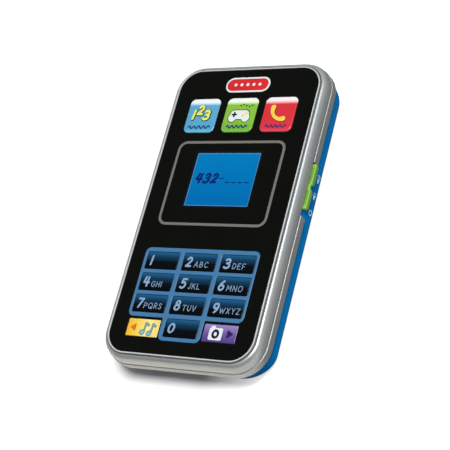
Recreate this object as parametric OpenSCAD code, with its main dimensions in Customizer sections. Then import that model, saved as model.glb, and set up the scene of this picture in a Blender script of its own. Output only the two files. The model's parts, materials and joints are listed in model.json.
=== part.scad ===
// Toy cell phone: a two-shell housing with a silver rim, fifteen travelling keys,
// a small display, a side slide switch, a speaker and a screwed battery door.
// It lies on its back: +Z leaves the face, +Y points to the speaker end, and the
// origin is in the middle of the back. All sizes are in millimetres.

/* [Body] */
// Width of the silver rim
body_w = 77; // [74:1:84]
// Length of the silver rim
body_l = 140; // [138:1:150]
// Height from the back to the lip of the rim
body_t = 19.4; // [19.4:0.2:22]
// Corner radius of the rim seen from the front
corner_r = 13.4; // [12.5:0.1:14]
// Height of the front housing's side above the seam
front_h = 5.7; // [5.5:0.1:6]
// Height of the silver side band
band_h = 4; // [3.8:0.1:4.2]
// How far the rear housing's side stands back from the rim
rear_inset = 1.1; // [0.8:0.1:1.4]
// Rounding of the rear housing's long back edges
rear_edge_r = 4.5; // [3:0.5:6]
// Rounding of the rear housing's two end edges
rear_end_r = 8; // [6:0.5:9]

/* [Face] */
// Width of the silver rim around the face panel
rim_w = 3.9; // [3.7:0.1:4.2]
// Thickness of the face panel
panel_t = 1.2; // [1:0.1:1.2]
// Width of the display window
window_w = 31.4; // [28:0.1:32]
// Height of the display window
window_h = 25.1; // [22:0.1:26]
// Distance of the window's middle from the middle of the face
window_y = 13; // [12:0.1:14]

/* [Keys] */
// Width of a number key
key_w = 16.1; // [14:0.1:16.4]
// Height of a number key
key_h = 7.7; // [6:0.1:8]
// Distance between key columns
key_pitch_x = 18.4; // [18.2:0.1:19]
// Distance between key rows
key_pitch_y = 9.65; // [9.5:0.05:9.8]
// Travel of every key
key_travel = 1; // [0.6:0.1:1]
// Gap between a key and its opening
key_gap = 0.15; // [0.1:0.05:0.25]
// Width of a picture tile
tile_w = 15.45; // [14:0.05:16]
// Height of a picture tile
tile_h = 16.7; // [15:0.1:17]

/* [Slide switch] */
// Length of the green slider
slider_l = 20.8; // [18:0.1:21]
// Travel from the loud end to the off end
slider_travel = 2.8; // [2:0.1:2.9]

/* [Battery door] */
// Width of the door
door_w = 37.4; // [37:0.1:39]
// Radial gap between the door screw and the door
screw_gap = 0.1; // [0.05:0.01:0.1]

/* [Hidden] */
$fn = 48;

// Heights, counted from the back
seam_z = body_t - front_h;
band_z = seam_z - band_h;
panel_z = body_t - 0.2;
deck_z = panel_z - panel_t;
deck_t = 1.8;
deck_under_z = deck_z - deck_t;
floor_t = 1.6;
board_z = 9.4;
board_t = 1.6;
board_top_z = board_z + board_t;
seam_gap = 0.1;
wall_t = 2;
rear_wall_t = 1.5;
end_wall_t = 2.2;

// The middle of each rounded corner, and places counted outwards from it
corner_x = body_w / 2 - corner_r;
corner_y = body_l / 2 - corner_r;
rear_side = corner_r - rear_inset;
inner_wall = corner_r - wall_t - 0.1;
panel_side = corner_r - rim_w;

// Key places, row by row from the top of the keypad
key_row_y = -25.2;
zero_key_y = -54.45;
side_key_y = -55.2;
side_key_x = 18.5;
side_key_w = 15.6;
side_key_h = 7.6;
tile_pitch = 19.1;
tile_y = 43.75;
key_top_z = panel_z + 0.05;
tile_top_z = panel_z + 0.35;
flange_t = 1;
flange_rim = 0.55;
stem_r = 2;
stem_end_z = board_top_z + key_travel + 0.2;
cap_edge = 0.2;
mat_t = 1;
dome_h = 2.7;
dome_t = 1.1;
dome_gap = 0.4;

// Keypad bezel: a lattice around nine keys with a box for the zero key below it
bezel_w = 55.6;
bezel_top_y = -19.3;
bezel_low_y = -50.05;
zero_box_w = 19.3;
zero_box_low_y = -60.1;
bezel_z = panel_z + 0.15;

// Slide switch, on the right side just behind the seam
slider_top_y = 23.5;
slider_low_y = slider_top_y - slider_l;
slider_mid_y = slider_low_y + slider_l / 2;
slider_z = 10.8;
slider_out = 1.1;
slider_lobe_r = 1.2;
notch_y = 12.75;
notch_w = 1.5;
notch_h = 1.2;
cutout_low_y = slider_low_y - slider_travel - 0.25;
cutout_top_y = slider_top_y + 0.4;
lever_z = slider_z + notch_h + 0.1;
lever_h = 1.1;
lever_half = 1.2;
prong_half = 0.65;

// Battery bay and its door, on the back under the display
cell_r = 5.25;
cell_l = 43.7;
cell_nub = 0.8;
cell_nub_r = 1.9;
cell_pitch = 11;
cell_z = 7.05;
bay_half_w = 16.8;
bay_low_y = -14.5;
bay_top_y = 34;
bay_mid_y = (bay_low_y + bay_top_y) / 2;
bay_roof_z = 12.5;
bay_wall = 1.2;
contact_t = 0.4;
contact_w = 8;
door_low_y = -23.5;
door_top_y = 38.5;
door_t = 1.5;
door_gap = 0.25;
door_corner_r = 1.5;
door_axis_y = door_top_y - door_t / 2;
door_screw_y = -20.3;
door_screw_r = 1.3;
door_head_r = 2.5;
door_boss_r = 3.2;
door_boss_z = 3.2;
door_post_r = 4.8;
door_post_z = 8.4;

// Speaker, behind the tiles
speaker_y = 53.5;
speaker_r = 10.5;
collar_t = 1.3;
collar_z = 5.2;
grille_hole_r = 0.8;
grille_pitch = 3;
magnet_r = 5.5;
magnet_z = floor_t + 4;
magnet_t = 2.6;

// Screws
case_boss = [for (sx = [-1, 1]) for (p = [[29.6, -61.3], [31, -8], [29.6, 61.3]]) [sx * p[0], p[1]]];
board_boss = [for (sx = [-1, 1]) for (y = [-53, 53]) [sx * 27.5, y]];
boss_r = 2.9;
board_boss_r = 2.2;
case_screw_r = 1.2;
case_head_r = 2.3;
case_head_z = 4.6;
case_seat_z = 6.2;
board_screw_r = 1;
board_head_r = 1.9;

// Display stack, under the lens
lens_rim = 1.8;
lens_rim_t = 0.6;
glass_w = 37;
glass_h = 31;
glass_t = 0.9;
holder_w = 41;
holder_h = 35;

// Board and wires
board_w = 63;
board_l = 115;
chip_r = 5.5;
chip_h = 1.4;
chip_y = -42;
resistor_t = 0.6;
capacitor_r = 2.5;
wire_r = 0.6;

// Points of an elliptic arc about [cx, cz]
function arc(cx, cz, rx, rz, a0, a1, n = 8) =
    [for (i = [0:n]) let (a = a0 + (a1 - a0) * i / n) [cx + rx * cos(a), cz + rz * sin(a)]];

// A rectangle with round corners
module rounded(w, l, r) {
    square([w - 2 * r, l], center = true);
    square([w, l - 2 * r], center = true);
    for (sx = [-1, 1], sy = [-1, 1])
        translate([sx * (w / 2 - r), sy * (l / 2 - r)]) circle(r);
}

module plate(w, l, r, z0, z1, y = 0, x = 0) {
    translate([x, y, z0]) linear_extrude(z1 - z0) rounded(w, l, r);
}

module block(x, y, z) {
    translate([x[0], y[0], z[0]]) cube([x[1] - x[0], y[1] - y[0], z[1] - z[0]]);
}

module post(p, r, z0, z1) {
    translate([p[0], p[1], z0]) cylinder(r = r, h = z1 - z0);
}

// Carries a profile round the phone's outline. The profile's first coordinate is the
// distance outwards from the corner centres, and its second is the height.
module round_outline(profile) {
    for (sx = [0, 1], sy = [0, 1])
        mirror([sx, 0, 0]) mirror([0, sy, 0])
            translate([corner_x, corner_y, 0]) rotate_extrude(angle = 90) polygon(profile);
    for (a = [0, 180]) rotate(a) {
        translate([corner_x, corner_y, 0]) rotate([90, 0, 0])
            linear_extrude(2 * corner_y) polygon(profile);
        translate([-corner_x, corner_y, 0]) rotate([90, 0, 90])
            linear_extrude(2 * corner_x) polygon(profile);
    }
}

// The same with the middle filled between two heights
module filled_outline(profile, z0, z1) {
    round_outline(profile);
    block([-corner_x, corner_x], [-corner_y, corner_y], [z0, z1]);
}

// The places of all keys: calls its children moved to each one
module at_number_keys() {
    for (row = [0:2], col = [-1:1])
        translate([col * key_pitch_x, key_row_y - row * key_pitch_y, 0]) children();
    translate([0, zero_key_y, 0]) children();
}

module at_side_keys() {
    for (sx = [-1, 1]) translate([sx * side_key_x, side_key_y, 0]) children();
}

module at_tiles() {
    for (col = [-1:1]) translate([col * tile_pitch, tile_y, 0]) children();
}

module key_openings(z0, z1) {
    at_number_keys() plate(key_w + 2 * key_gap, key_h + 2 * key_gap, 0.8, z0, z1);
    at_side_keys() plate(side_key_w + 2 * key_gap, side_key_h + 2 * key_gap, 0.5, z0, z1);
    at_tiles() plate(tile_w + 2 * key_gap, tile_h + 2 * key_gap, 2.6, z0, z1);
}

module bezel_outline(grow) {
    translate([0, (bezel_top_y + bezel_low_y) / 2])
        rounded(bezel_w + 2 * grow, bezel_top_y - bezel_low_y + 2 * grow, 2.5);
    translate([0, (bezel_low_y + zero_box_low_y) / 2 + 1.5])
        rounded(zero_box_w + 2 * grow, bezel_low_y - zero_box_low_y + 3 + 2 * grow, 3);
}

module window_opening(grow, z0, z1) {
    plate(window_w + 2 * grow, window_h + 2 * grow, 0.6, z0, z1, y = window_y);
}

// Silver front shell: rounded rim, lip and groove, and the deck behind the face
module front_housing() {
    foot_z = seam_z + 0.35;
    rim_in = corner_r - 2.7;
    rim_out = corner_r - 0.3;
    crest_z = body_t - 0.65;
    groove_z = body_t - 1.1;
    rim = concat(
        [[0, deck_under_z], [corner_r - wall_t, deck_under_z],
         [corner_r - wall_t, seam_z + seam_gap], [rim_out - 0.15, seam_z + seam_gap]],
        arc(rim_in, foot_z, rim_out - rim_in, crest_z - foot_z, 0, 90, 12),
        [[rim_in - 0.05, groove_z], [rim_in - 0.5, groove_z],
         [rim_in - 0.55, body_t - 0.15], [rim_in - 0.65, body_t],
         [panel_side + 0.15, body_t], [panel_side + 0.05, body_t - 0.1],
         [panel_side + 0.05, deck_z], [0, deck_z]]);
    color("silver") union() {
        difference() {
            filled_outline(rim, deck_under_z, deck_z);
            key_openings(0, body_t);
            window_opening(0.3, 0, body_t);
            window_opening(lens_rim + 0.15, deck_z - lens_rim_t, body_t);
        }
        for (p = case_boss) difference() {
            post(p, boss_r, board_z + 0.2, deck_under_z + 0.1);
            post(p, case_screw_r + 0.05, 0, deck_under_z - 1);
        }
    }
}

// Silver band between the two housings, cut away at the slide switch
module side_band() {
    edge = 0.35;
    band_in = corner_r - wall_t + 0.1;
    low_z = band_z + 0.1;
    band = concat(
        [[band_in, low_z]],
        arc(corner_r - edge, low_z + edge, edge, edge, -90, 0, 4),
        arc(corner_r - edge, seam_z - edge, edge, edge, 0, 90, 4),
        [[band_in, seam_z]]);
    corner = 1.3;
    color("silver") difference() {
        round_outline(band);
        translate([body_w / 2 - wall_t - 1, 0, 0]) rotate([90, 0, 90]) linear_extrude(wall_t + 2)
            union() {
                translate([cutout_low_y, band_z - 1])
                    square([cutout_top_y - cutout_low_y, band_h + 2]);
                for (side = [0, 1])
                    translate([side ? cutout_top_y : cutout_low_y, low_z])
                        mirror([side ? 0 : 1, 0]) difference() {
                            translate([0, -1]) square([corner, corner + 1]);
                            translate([corner, corner]) circle(corner);
                        }
            }
    }
}

// How far a rounding of radius r has drawn in at height z
function drawn_in(r, z) = z < r ? r - sqrt(r * r - (r - z) * (r - z)) : 0;

// The rear shell's outer form. Its ends are rounded more than its sides, so each level
// has elliptic corners.
module rear_form(rings = 12, steps = 12) {
    levels = concat([for (i = [0:rings]) rear_end_r * (1 - cos(90 * i / rings))], [band_z]);
    count = 4 * (steps + 1);
    points = [for (z = levels, corner = [0:3], i = [0:steps])
        let (a = 90 * corner + 90 * i / steps,
             sx = corner == 0 || corner == 3 ? 1 : -1,
             sy = corner < 2 ? 1 : -1)
        [sx * corner_x + (rear_side - drawn_in(rear_edge_r, z)) * cos(a),
         sy * corner_y + (rear_side - drawn_in(rear_end_r, z)) * sin(a), z]];
    walls = [for (k = [0:len(levels) - 2], i = [0:count - 1]) let (n = (i + 1) % count)
        [(k + 1) * count + i, (k + 1) * count + n, k * count + n, k * count + i]];
    ends = [[for (i = [0:count - 1]) i], [for (i = [0:count - 1]) len(levels) * count - 1 - i]];
    polyhedron(points = points, faces = concat(walls, ends), convexity = 4);
}

// Blue rear shell: outer wall, inner wall behind the band, switch panel, battery bay,
// speaker collar and screw posts
module rear_housing() {
    side_r = rear_edge_r - 1;
    end_r = rear_end_r - 1.2;
    end_y = body_l / 2 - rear_inset - end_wall_t;
    hollow = concat(
        [[0, floor_t]],
        arc(rear_side - rear_wall_t - side_r, floor_t + side_r, side_r, side_r, -90, 0, 6),
        [[inner_wall - rear_wall_t, body_t], [0, body_t]]);
    hollow_ends = concat(
        arc(end_r - end_y, floor_t + end_r, end_r, end_r, 180, 270, 6),
        arc(end_y - end_r, floor_t + end_r, end_r, end_r, 270, 360, 6),
        [[end_y, body_t], [-end_y, body_t]]);
    lip_low_z = band_z - 1;
    lip_top_z = deck_under_z - 0.2;
    ledge = 1.6;
    color("royalblue") difference() {
        union() {
            difference() {
                union() {
                    rear_form();
                    filled_outline([[0, lip_low_z], [inner_wall, lip_low_z],
                        [inner_wall, lip_top_z], [0, lip_top_z]], lip_low_z, lip_top_z);
                }
                intersection() {
                    filled_outline(hollow, floor_t, body_t);
                    rotate([90, 0, 90]) translate([0, 0, -body_w / 2])
                        linear_extrude(body_w) polygon(hollow_ends);
                }
            }
            // panel behind the slider
            block([corner_x + inner_wall - 1, body_w / 2 - rear_inset],
                  [cutout_low_y + 0.1, cutout_top_y - 0.1], [band_z - 1, seam_z]);
            // battery bay, and the ledge that the door lies against
            block([-bay_half_w - bay_wall, bay_half_w + bay_wall],
                  [bay_low_y - bay_wall, bay_top_y + bay_wall], [floor_t, bay_roof_z + 1]);
            block([-door_w / 2 - ledge, door_w / 2 + ledge],
                  [door_low_y - ledge, bay_top_y + bay_wall], [floor_t, floor_t + 1.2]);
            // post that the door screw holds in
            post([0, door_screw_y], door_post_r, floor_t, door_post_z);
            // speaker collar
            post([0, speaker_y], speaker_r + collar_t, floor_t - 0.2, collar_z);
            for (p = case_boss) post(p, boss_r, floor_t - 0.2, board_z);
            for (p = board_boss) post(p, board_boss_r, floor_t - 0.2, board_z - 0.1);
        }
        // door opening, cells and contacts
        plate(door_w + 2 * door_gap, door_top_y - door_low_y + 2 * door_gap, door_corner_r - 0.5,
              -1, floor_t, y = (door_top_y + door_low_y) / 2);
        block([-bay_half_w, bay_half_w], [bay_low_y, bay_top_y], [0, bay_roof_z]);
        post([0, door_screw_y], door_screw_r + 0.65, 0, door_post_z + 1);
        post([0, door_screw_y], door_boss_r + 0.5, 0, door_boss_z + 0.3);
        post([0, speaker_y], speaker_r + 0.2, floor_t, board_z);
        speaker_grille();
        for (p = case_boss) {
            post(p, case_head_r + 0.2, -1, case_seat_z);
            post(p, case_screw_r + 0.2, 0, body_t);
        }
        for (p = board_boss) post(p, board_screw_r + 0.05, floor_t + 1, body_t);
        // slot that the slider's fork passes through
        block([corner_x, body_w], [slider_mid_y - 3 - slider_travel, slider_mid_y + 3],
              [lever_z - 0.3, lever_z + lever_h + 0.3]);
    }
}

module speaker_grille() {
    post([0, speaker_y], grille_hole_r, -1, floor_t + 1);
    for (ring = [1:2], i = [0:6 * ring - 1])
        let (r = grille_pitch * ring, a = 60 * i / ring)
            post([r * cos(a), speaker_y + r * sin(a)], grille_hole_r, -1, floor_t + 1);
}

// Black face panel
module face_panel() {
    color("black") difference() {
        filled_outline([[0, deck_z], [panel_side, deck_z], [panel_side, panel_z - 0.2],
            [panel_side - 0.2, panel_z], [0, panel_z]], deck_z, panel_z);
        key_openings(0, body_t);
        window_opening(0, 0, body_t);
        translate([0, 0, deck_z - 1]) linear_extrude(panel_t + 2) bezel_outline(0.05);
    }
}

// Blue lattice around the number keys
module keypad_bezel() {
    color("steelblue") difference() {
        translate([0, 0, deck_z]) linear_extrude(bezel_z - deck_z) bezel_outline(0);
        key_openings(0, body_t);
    }
}

module display_lens() {
    color([0.3, 0.5, 0.8, 0.5]) union() {
        window_opening(-0.1, deck_z - 0.1, panel_z - 0.25);
        window_opening(lens_rim, deck_z - lens_rim_t, deck_z - 0.05);
    }
}

// Two glass plates: the upper one fills the deck's opening, the lower one has the contacts
module display_glass() {
    color("dodgerblue") union() {
        window_opening(0.1, deck_under_z - 0.2, deck_z - 0.7);
        plate(glass_w, glass_h, 0.3, deck_under_z - 0.1 - glass_t, deck_under_z - 0.1, y = window_y);
    }
}

module display_holder() {
    color("white") difference() {
        plate(holder_w, holder_h, 1.5, bay_roof_z + 1.05, deck_under_z - 0.05, y = window_y);
        plate(glass_w + 0.3, glass_h + 0.3, 0.5, bay_roof_z + 1.25, body_t, y = window_y);
        plate(glass_w - 7, glass_h - 7, 1, 0, body_t, y = window_y);
    }
}

module backlight() {
    color("lightskyblue")
        plate(glass_w - 0.2, glass_h - 0.2, 0.8, bay_roof_z + 1.3, deck_under_z - 0.2 - glass_t,
              y = window_y);
}

// Printed ribbon from the glass's contact edge down to the board
module display_ribbon() {
    t = 0.2;
    width = 24;
    glass_y = window_y - glass_h / 2 + 0.2;
    land_y = bay_low_y - bay_wall - 2.4;
    route_z = deck_under_z - 0.3;
    color("peru") translate([-width / 2, 0, 0]) rotate([90, 0, 90])
        linear_extrude(width) polygon([
        [glass_y - 2.4, route_z], [land_y, route_z], [land_y, board_top_z + t],
        [land_y - 1.8, board_top_z + t], [land_y - 1.8, board_top_z], [land_y + t, board_top_z],
        [land_y + t, route_z - t], [glass_y - 2.4, route_z - t]]);
}

// A key: cap, retaining flange and the stem that presses its switch
module key(w, h, r, top_z) {
    flange_z = deck_under_z - 0.1;
    plate(w, h, r, flange_z, top_z - cap_edge - 0.1);
    plate(w - 2 * cap_edge, h - 2 * cap_edge, r, top_z - cap_edge - 0.1, top_z);
    plate(w + 2 * flange_rim, h + 2 * flange_rim, r, flange_z - flange_t, flange_z);
    post([0, 0], stem_r, stem_end_z, deck_under_z - flange_t);
}

module number_key(col, row) {
    color([0.1, 0.2, 0.3]) translate([col * key_pitch_x, key_row_y - row * key_pitch_y, 0])
        key(key_w, key_h, 0.7, key_top_z);
}

module key_1() { number_key(-1, 0); }
module key_2() { number_key(0, 0); }
module key_3() { number_key(1, 0); }
module key_4() { number_key(-1, 1); }
module key_5() { number_key(0, 1); }
module key_6() { number_key(1, 1); }
module key_7() { number_key(-1, 2); }
module key_8() { number_key(0, 2); }
module key_9() { number_key(1, 2); }

module key_0() {
    color([0.1, 0.2, 0.3]) translate([0, zero_key_y, 0]) key(key_w, key_h, 0.7, key_top_z);
}

module music_key() {
    color("orange") translate([-side_key_x, side_key_y, 0])
        key(side_key_w, side_key_h, 0.4, key_top_z);
}

module camera_key() {
    color("mediumpurple") translate([side_key_x, side_key_y, 0])
        key(side_key_w, side_key_h, 0.4, key_top_z);
}

module tile(col) {
    translate([col * tile_pitch, tile_y, 0]) key(tile_w, tile_h, 2.5, tile_top_z);
}

module numbers_tile() { color("skyblue") tile(-1); }
module games_tile() { color("yellowgreen") tile(0); }
module calling_tile() { color("tomato") tile(1); }

// One ring of the silicone mat, around a key's stem
module mat_dome() {
    post([0, 0], stem_r + dome_gap + dome_t, board_top_z, board_top_z + dome_h);
}

module mat_hole() {
    post([0, 0], stem_r + dome_gap, 0, body_t);
}

module rubber_keypad() {
    color("gainsboro") difference() {
        union() {
            plate(48, 40, 2, board_top_z, board_top_z + mat_t, y = -40.4);
            at_number_keys() mat_dome();
            at_side_keys() mat_dome();
        }
        at_number_keys() mat_hole();
        at_side_keys() mat_hole();
    }
}

module rubber_tile_pad() {
    color("gainsboro") difference() {
        union() {
            plate(54, 12, 2, board_top_z, board_top_z + mat_t, y = tile_y);
            at_tiles() mat_dome();
        }
        at_tiles() mat_hole();
    }
}

module main_board() {
    color("seagreen") difference() {
        plate(board_w, board_l, 4, board_z, board_top_z);
        plate(2 * bay_half_w + 7.4, bay_top_y - bay_low_y + 6.5, 1.5, 0, body_t, y = bay_mid_y);
        for (p = case_boss) post(p, boss_r + 0.3, 0, body_t);
        for (p = board_boss) post(p, board_screw_r + 0.2, 0, body_t);
    }
}

// Chip under its dome of resin
module sound_chip() {
    color("black") translate([0, chip_y, board_z]) rotate_extrude()
        polygon(concat([[0, 0]], arc(0, 0, chip_r, chip_h, 0, -90)));
}

module board_components() {
    color("dimgray") translate([0, 0, board_z]) mirror([0, 0, 1]) {
        // row of resistors
        for (i = [0:4]) plate(1.6, 0.9, 0.1, 0, resistor_t, x = 3 * i - 21.2, y = -29.55);
        // column of resistors
        for (i = [0:3]) plate(1.6, 0.9, 0.1, 0, resistor_t, x = 9.8, y = 3.2 * i - 47.55);
        // capacitor lying on its side
        translate([16, -38, capacitor_r]) rotate([-90, 0, 0]) cylinder(r = capacitor_r, h = 7);
        // wire socket
        plate(11, 4, 0.3, 0, 3, x = -13.5, y = -53);
        // transistors beside the display
        for (sx = [-1, 1]) plate(4, 5, 0.3, 0, 1.6, x = sx * 25, y = 30.5);
    }
}

// Metal case of the slide switch, open on the side where its lever comes out
module switch_housing() {
    x0 = corner_x - 2;
    x1 = corner_x + 5;
    y0 = slider_mid_y - 8;
    y1 = slider_mid_y + 6;
    slot_gap = 0.4;
    color("lightgray") difference() {
        block([x0, x1], [y0, y1], [board_top_z, seam_z + 0.4]);
        block([x0 + 0.8, x1 + 1],
              [slider_mid_y - lever_half - slider_travel - slot_gap, slider_mid_y + lever_half + slot_gap],
              [lever_z - slot_gap, lever_z + lever_h + slot_gap]);
    }
}

module switch_lever() {
    color("ivory") block([corner_x, corner_x + 8.6],
        [slider_mid_y - lever_half, slider_mid_y + lever_half], [lever_z, lever_z + lever_h]);
}

// Green slider: two lobes on one strip, and the fork that carries the lever
module power_slider() {
    x0 = body_w / 2 - rear_inset + 0.1;
    out = slider_out + rear_inset - 0.1;
    strip_z = slider_z + notch_h;
    top_z = seam_z - 0.2;
    lobes = [[slider_low_y, notch_y - notch_w / 2], [notch_y + notch_w / 2, slider_top_y]];
    color("yellowgreen") union() {
        translate([x0, 0, 0]) rotate([90, 0, 90]) linear_extrude(out) union() {
            translate([slider_low_y, strip_z]) square([slider_l, top_z - strip_z]);
            for (lobe = lobes) {
                translate([lobe[0] + slider_lobe_r, slider_z])
                    square([lobe[1] - lobe[0] - 2 * slider_lobe_r, strip_z - slider_z]);
                translate([lobe[0], slider_z + slider_lobe_r])
                    square([lobe[1] - lobe[0], strip_z - slider_z]);
                for (y = [lobe[0] + slider_lobe_r, lobe[1] - slider_lobe_r])
                    translate([y, slider_z + slider_lobe_r]) circle(slider_lobe_r);
            }
        }
        for (side = [-1, 1])
            translate([0, slider_mid_y + side * (lever_half + prong_half + 0.1), 0])
                block([corner_x + 6.2, x0 + 0.1], [-prong_half, prong_half],
                      [lever_z - 0.05, lever_z + lever_h + 0.05]);
    }
}

module speaker_frame() {
    neck_r = magnet_r + 0.2;
    bowl_r = speaker_r - 1.9;
    color("dimgray") translate([0, speaker_y, floor_t]) rotate_extrude() polygon([
        [bowl_r, 0.1], [speaker_r, 0.1], [speaker_r, 1.1], [bowl_r + 1, 1.1],
        [neck_r + 0.6, 4.2], [neck_r, 4.2], [neck_r, 3.8], [bowl_r, 0.9]]);
}

module speaker_cone() {
    cap_r = 3.2;
    cone_r = speaker_r - 2.1;
    t = 0.4;
    front = [[0, 2.6], [2, 2.4], [cap_r, 2.6], [cone_r, 0.4]];
    color("black") translate([0, speaker_y, floor_t]) rotate_extrude()
        polygon(concat(front, [for (i = [3:-1:0]) front[i] + [0, t]]));
}

module speaker_magnet() {
    color("lightgray") post([0, speaker_y], magnet_r, magnet_z, magnet_z + magnet_t);
}

// Door over the cells, with two hook tabs at one end and the screw's seat at the other
module battery_door() {
    seat_z = 1.9;
    hook_x = 10;
    hook_half = 3;
    hook_z = [1.8, 2.55];
    grip_w = 14;
    grip_y = 28;
    grip_pitch = 2.6;
    color("royalblue") difference() {
        union() {
            intersection() {
                plate(door_w, door_top_y - door_low_y, door_corner_r, 0, door_t,
                      y = (door_top_y + door_low_y) / 2);
                block([-door_w, door_w], [-body_l, door_axis_y], [-1, door_t + 1]);
            }
            // round edge that the door tilts about
            translate([door_corner_r - door_w / 2, door_axis_y, door_t / 2]) rotate([0, 90, 0])
                cylinder(r = door_t / 2, h = door_w - 2 * door_corner_r);
            post([0, door_screw_y], door_boss_r, door_t - 0.1, door_boss_z);
            for (sx = [-1, 1]) translate([sx * hook_x, 0, 0]) {
                block([-hook_half, hook_half], [door_axis_y - 0.3, door_axis_y + 0.3],
                      [door_t / 2, hook_z[1]]);
                block([-hook_half, hook_half], [door_axis_y - 0.3, door_top_y + 2], hook_z);
            }
        }
        post([0, door_screw_y], door_head_r + 0.2, -1, seat_z);
        post([0, door_screw_y], door_screw_r + screw_gap, 0, door_boss_z + 1);
        // thumb grip
        for (i = [0:2]) translate([0, grip_y + grip_pitch * i, 0])
            block([-grip_w / 2, grip_w / 2], [0, 1.2], [-1, 0.5]);
    }
}

// Cross-slotted screw: head, shank and point
module cross_screw(r, head_r, head_h, length) {
    difference() {
        union() {
            cylinder(r = head_r, h = head_h);
            cylinder(r = r, h = head_h + length);
        }
        for (a = [0, 90]) rotate(a) cube([2.6, 0.7, 1.6], center = true);
    }
}

module door_screw() {
    color("silver") translate([0, door_screw_y, 0.4]) cross_screw(door_screw_r, door_head_r, 1.4, 5.6);
}

module case_screws() {
    color("silver") for (p = case_boss)
        translate([p[0], p[1], case_head_z]) cross_screw(case_screw_r, case_head_r, 1.5, 8.6);
}

module board_screws() {
    color("silver") for (p = board_boss)
        translate([p[0], p[1], board_top_z + 1.2]) mirror([0, 0, 1])
            cross_screw(board_screw_r, board_head_r, 1.1, 5);
}

// Stands its children on an end wall of the bay, facing along the bay, in one cell's
// column. The middle cell lies the other way round.
module at_bay_end(col, y, facing) {
    translate([col * cell_pitch, bay_mid_y, cell_z]) rotate([0, 0, col == 0 ? 180 : 0])
        translate([0, y - bay_mid_y, 0]) rotate([-90 * facing, 0, 0]) children();
}

// A dry cell: its flat end against the spring
module cell(col) {
    at_bay_end(col, bay_low_y + contact_t + 3, 1) {
        cylinder(r = cell_r, h = cell_l);
        cylinder(r = cell_nub_r, h = cell_l + cell_nub);
    }
}

module battery_1() { color("dimgray") cell(-1); }
module battery_2() { color("dimgray") cell(0); }
module battery_3() { color("dimgray") cell(1); }

module contact_plate() {
    plate(contact_w, contact_w, 0.4, 0, contact_t);
}

// Conical springs at the flat ends of the cells, one coil resting on the next
module battery_springs() {
    spring_wire_r = 0.38;
    color("silver") for (col = [-1:1]) at_bay_end(col, bay_low_y, 1) {
        contact_plate();
        for (i = [0:3]) translate([0, 0, contact_t + 0.35 + 0.7 * i])
            rotate_extrude() translate([3.6 - 0.5 * i, 0]) circle(spring_wire_r);
    }
}

module battery_contacts() {
    color("silver") for (col = [-1:1]) at_bay_end(col, bay_top_y, -1) {
        contact_plate();
        cylinder(r = 1.5, h = 0.55);
    }
}

// A point of the cubic curve that four points steer
function curve_point(p, t) =
    p[0] * pow(1 - t, 3) + p[1] * 3 * t * pow(1 - t, 2) + p[2] * 3 * t * t * (1 - t) + p[3] * pow(t, 3);

function unit(v) = v / norm(v);

// A wire along that curve: one tube with flat ends
module wire(p, r, sides = 8, rings = 12) {
    function ring(i) =
        let (t = i / rings,
             along = unit(curve_point(p, min(t + 0.02, 1)) - curve_point(p, max(t - 0.02, 0))),
             side = unit(cross(along, [0.3, 1, 0.2])),
             up = cross(side, along))
        [for (k = [0:sides - 1]) let (a = 360 * k / sides)
            curve_point(p, t) + r * (cos(a) * side + sin(a) * up)];
    walls = [for (i = [0:rings - 1], k = [0:sides - 1]) let (n = (k + 1) % sides)
        [i * sides + k, i * sides + n, (i + 1) * sides + n, (i + 1) * sides + k]];
    ends = [[for (k = [0:sides - 1]) sides - 1 - k], [for (k = [0:sides - 1]) rings * sides + k]];
    polyhedron(points = [for (i = [0:rings]) each ring(i)], faces = concat(walls, ends), convexity = 4);
}

module speaker_wires() {
    color("firebrick") for (sx = [-1, 1])
        wire([[sx * 6, speaker_y - 3, 7], [sx * 13, 48, 7], [sx * 15, 41, 5],
              [sx * 15, 41, board_z - 0.1]], wire_r);
}

module battery_wires() {
    color("firebrick") for (sx = [-1, 1])
        wire([[sx * 14, bay_low_y - bay_wall, 8], [sx * 14, -20, 8], [sx * 15, -27, 5],
              [sx * 15, -27, board_z - 0.1]], wire_r);
}

front_housing();
side_band();
rear_housing();
face_panel();
keypad_bezel();
display_lens();
display_glass();
display_holder();
backlight();
display_ribbon();
key_1();
key_2();
key_3();
key_4();
key_5();
key_6();
key_7();
key_8();
key_9();
key_0();
music_key();
camera_key();
numbers_tile();
games_tile();
calling_tile();
rubber_keypad();
rubber_tile_pad();
main_board();
sound_chip();
board_components();
switch_housing();
switch_lever();
power_slider();
speaker_frame();
speaker_cone();
speaker_magnet();
battery_door();
door_screw();
battery_1();
battery_2();
battery_3();
battery_springs();
battery_contacts();
case_screws();
board_screws();
speaker_wires();
battery_wires();
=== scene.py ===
"""The looks of a toy cell phone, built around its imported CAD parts.

The phone lies on its back on a pale floor: +Z leaves its face, +Y points to the speaker
end, and +X to the side with the slide switch. Lengths are in metres; MM is a millimetre.
"""
import json
import math

import bmesh
import bpy
from mathutils import Matrix, Vector

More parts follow.
